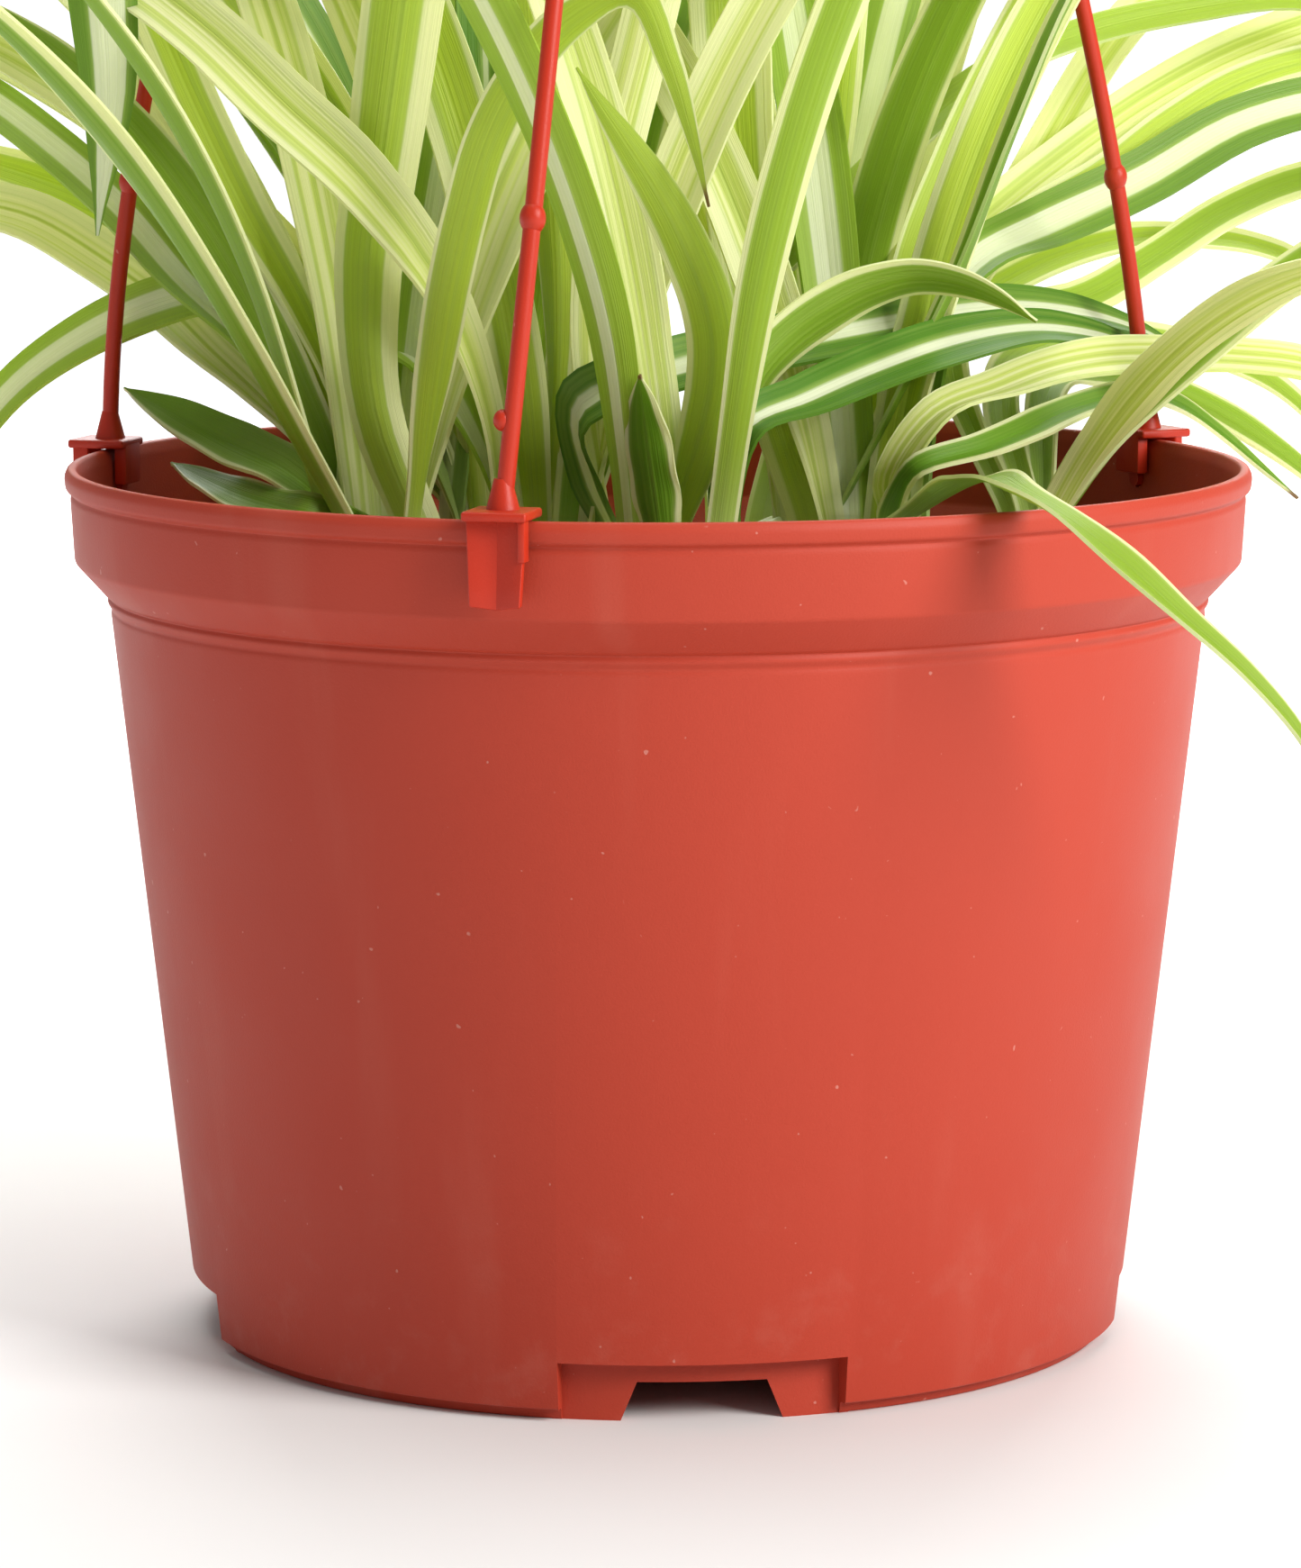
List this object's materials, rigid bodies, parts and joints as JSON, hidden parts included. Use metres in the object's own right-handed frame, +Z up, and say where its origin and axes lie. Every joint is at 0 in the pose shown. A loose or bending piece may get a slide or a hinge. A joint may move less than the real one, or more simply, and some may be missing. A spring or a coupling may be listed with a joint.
{
  "type": "potted spider plant in a hanging pot",
  "caption": "Variegated spider plant with long arching strap leaves in a round terracotta-coloured plastic hanging pot with clip-on arms and a hook.",
  "frame": {"origin": "the point inside the hook that bears on what it hangs from, on the pot's axis, 490 mm above the plane of the pot's foot", "axes": "+Z up, -Y the front, +X to the right when seen from the front"},
  "size_m": [0.4959, 0.508, 0.4935],
  "materials": {
    "pot_plastic": "satin terracotta-coloured moulded plastic, lightly scuffed",
    "hanger_plastic": "orange-red moulded plastic with a soft shine",
    "soil": "dark peat-based potting soil",
    "crown": "pale green leaf bases and whitish fleshy roots",
    "leaf_cream_edged": "satin green leaf with cream edges",
    "leaf_white_centred": "satin green leaf with a white band along its middle",
    "leaf_pale": "satin pale yellow-green striped leaf"
  },
  "bodies": {
    "root": {"crown_back_left": "crown", "crown_back_right": "crown", "crown_front": "crown", "crown_left": "crown", "crown_middle": "crown", "crown_right": "crown", "crown_side_right": "crown", "hanger_arm_front": "hanger_plastic", "hanger_arm_left": "hanger_plastic", "hanger_arm_right": "hanger_plastic", "hanger_hook": "hanger_plastic", "leaf_back_left_1": "leaf_cream_edged", "leaf_back_left_2": "leaf_white_centred", "leaf_back_left_3": "leaf_cream_edged", "leaf_back_left_4": "leaf_white_centred", "leaf_back_left_5": "leaf_cream_edged", "leaf_back_left_6": "leaf_cream_edged", "leaf_back_left_7": "leaf_white_centred", "leaf_back_right_1": "leaf_cream_edged", "leaf_back_right_2": "leaf_pale", "leaf_back_right_3": "leaf_pale", "leaf_back_right_4": "leaf_pale", "leaf_back_right_5": "leaf_cream_edged", "leaf_back_right_6": "leaf_cream_edged", "leaf_back_right_7": "leaf_cream_edged", "leaf_back_right_8": "leaf_white_centred", "leaf_front_1": "leaf_cream_edged", "leaf_front_2": "leaf_white_centred", "leaf_front_3": "leaf_cream_edged", "leaf_front_4": "leaf_cream_edged", "leaf_front_5": "leaf_white_centred", "leaf_front_6": "leaf_cream_edged", "leaf_left_1": "leaf_cream_edged", "leaf_left_2": "leaf_cream_edged", "leaf_left_3": "leaf_cream_edged", "leaf_left_4": "leaf_white_centred", "leaf_left_5": "leaf_pale", "leaf_left_6": "leaf_cream_edged", "leaf_left_7": "leaf_cream_edged", "leaf_left_8": "leaf_cream_edged", "leaf_left_9": "leaf_cream_edged", "leaf_middle_1": "leaf_white_centred", "leaf_middle_2": "leaf_white_centred", "leaf_middle_3": "leaf_pale", "leaf_middle_4": "leaf_white_centred", "leaf_middle_5": "leaf_cream_edged", "leaf_middle_6": "leaf_pale", "leaf_middle_7": "leaf_cream_edged", "leaf_right_1": "leaf_cream_edged", "leaf_right_2": "leaf_pale", "leaf_right_3": "leaf_cream_edged", "leaf_right_4": "leaf_cream_edged", "leaf_right_5": "leaf_cream_edged", "leaf_right_6": "leaf_white_centred", "leaf_right_7": "leaf_cream_edged", "leaf_side_right_1": "leaf_cream_edged", "leaf_side_right_2": "leaf_cream_edged", "leaf_side_right_3": "leaf_cream_edged", "pot": "pot_plastic", "soil": "soil"}
  },
  "joints": []
}
